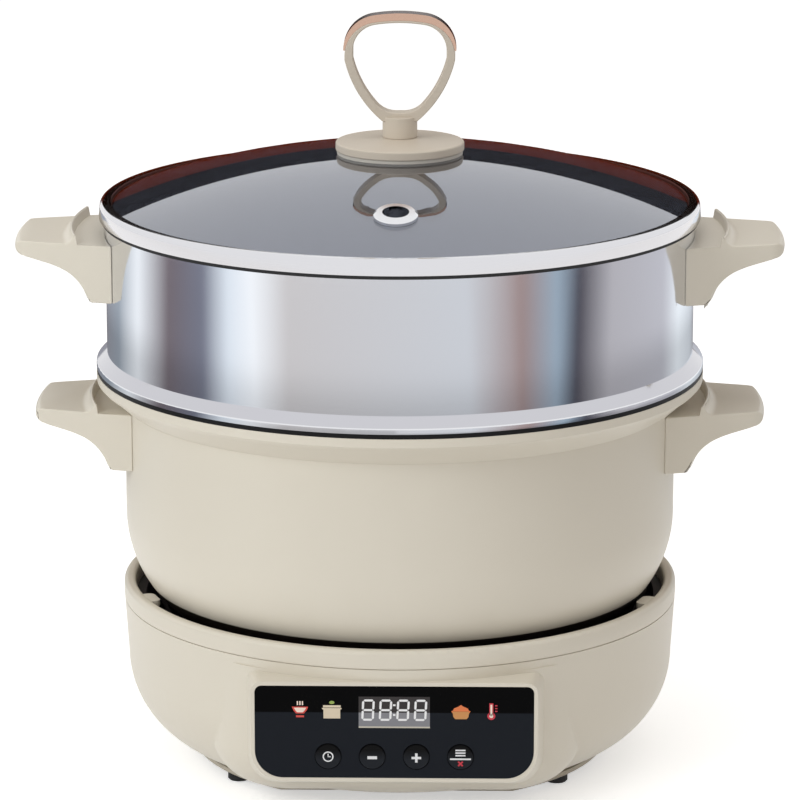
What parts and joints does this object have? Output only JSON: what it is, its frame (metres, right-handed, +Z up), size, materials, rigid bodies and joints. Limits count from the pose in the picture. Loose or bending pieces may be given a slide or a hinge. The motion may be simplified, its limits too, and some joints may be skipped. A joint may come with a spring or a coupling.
{
  "type": "electric stew pot",
  "caption": "Free-standing electric stew pot: round heating base with control panel, lift-off flared pot, steel steamer ring with perforated plate, and glass lid with loop knob.",
  "frame": {"origin": "on the table under the middle of the heating base, centre of the bounding box's bottom", "axes": "+Z up, -Y towards the control panel at the front, +X to the viewer's right, along the handles"},
  "size_m": [0.381, 0.3026, 0.3765],
  "materials": {
    "cream_plastic": "soft satin moulding",
    "cream_enamel": "satin coating outside, black non-stick inside",
    "polished_steel": "polished stainless steel",
    "dark_enamel": "heat-proof dark coating",
    "cast_aluminium": "cast and turned",
    "ceramic_post": "unglazed",
    "sensor_metal": "bright cap",
    "black_plastic": "fine grain",
    "grey_plastic": "fine grain",
    "dark_rubber": "matte",
    "panel_gloss": "mirror black with a slate lower half",
    "button_gloss": "low crown, printed symbol",
    "display_face": "white segments on grey",
    "circuit_board": "green lacquer",
    "brass_pins": "bright",
    "silicone": "soft matte",
    "rose_trim": "rose-gold plating",
    "lid_glass": "tempered, clear"
  },
  "bodies": {
    "base": {"base_housing": "cream_plastic", "base_top_ring": "cream_plastic", "heat_basin": "dark_enamel", "heating_plate": "cast_aluminium", "heating_element": "polished_steel", "plate_legs": "ceramic_post", "sensor_cup": "polished_steel", "sensor_spring": "polished_steel", "thermal_cutout": "black_plastic", "base_bottom_cover": "grey_plastic", "foot_front_left": "dark_rubber", "foot_front_right": "dark_rubber", "foot_back_left": "dark_rubber", "foot_back_right": "dark_rubber", "cover_screws": "polished_steel", "control_window": "panel_gloss", "control_board": "circuit_board", "display_module": "display_face", "push_switches": "black_plastic", "power_board": "circuit_board", "board_parts": "black_plastic", "power_inlet": "black_plastic", "inlet_pins": "brass_pins"},
    "sensor": {"temperature_sensor": "sensor_metal"},
    "pot": {"pot_body": "cream_enamel", "pot_bracket_left": "polished_steel", "pot_bracket_right": "polished_steel", "pot_handle_left": "cream_plastic", "pot_handle_right": "cream_plastic", "pot_handle_screws": "polished_steel"},
    "steamer": {"steamer_ring": "polished_steel", "steamer_bracket_left": "polished_steel", "steamer_bracket_right": "polished_steel", "steamer_handle_left": "cream_plastic", "steamer_handle_right": "cream_plastic", "steamer_handle_screws": "polished_steel"},
    "steam_plate": {"steam_plate": "polished_steel"},
    "lid": {"lid_glass": "lid_glass", "lid_rim": "polished_steel", "knob_gasket": "silicone", "knob_disc": "cream_plastic", "knob_loop": "cream_plastic", "loop_trim": "rose_trim", "knob_washer": "silicone", "knob_screw": "polished_steel", "steam_vent": "polished_steel"},
    "button_timer": {"button_timer": "button_gloss"},
    "button_minus": {"button_minus": "button_gloss"},
    "button_plus": {"button_plus": "button_gloss"},
    "button_power": {"button_power": "button_gloss"}
  },
  "joints": [
    {"name": "pot_lift", "type": "slide", "parent": "base", "child": "pot", "axis": [0, 0, 1], "range_m": [0, 0.12]},
    {"name": "steamer_lift", "type": "slide", "parent": "pot", "child": "steamer", "axis": [0, 0, 1], "range_m": [0, 0.1]},
    {"name": "steam_plate_lift", "type": "slide", "parent": "steamer", "child": "steam_plate", "axis": [0, 0, 1], "range_m": [0, 0.05]},
    {"name": "lid_lift", "type": "slide", "parent": "steamer", "child": "lid", "axis": [0, 0, 1], "range_m": [0, 0.12]},
    {"name": "sensor_press", "type": "slide", "parent": "base", "child": "sensor", "axis": [0, 0, -1], "range_m": [0, 0.0015], "stiffness_N_per_m": 600, "deforming": ["sensor_spring"]},
    {"name": "press_timer", "type": "slide", "parent": "base", "child": "button_timer", "axis": [0, 1, 0], "range_m": [0, 0.0005], "stiffness_N_per_m": 1500},
    {"name": "press_minus", "type": "slide", "parent": "base", "child": "button_minus", "axis": [0, 1, 0], "range_m": [0, 0.0005], "stiffness_N_per_m": 1500},
    {"name": "press_plus", "type": "slide", "parent": "base", "child": "button_plus", "axis": [0, 1, 0], "range_m": [0, 0.0005], "stiffness_N_per_m": 1500},
    {"name": "press_power", "type": "slide", "parent": "base", "child": "button_power", "axis": [0, 1, 0], "range_m": [0, 0.0005], "stiffness_N_per_m": 1500}
  ]
}
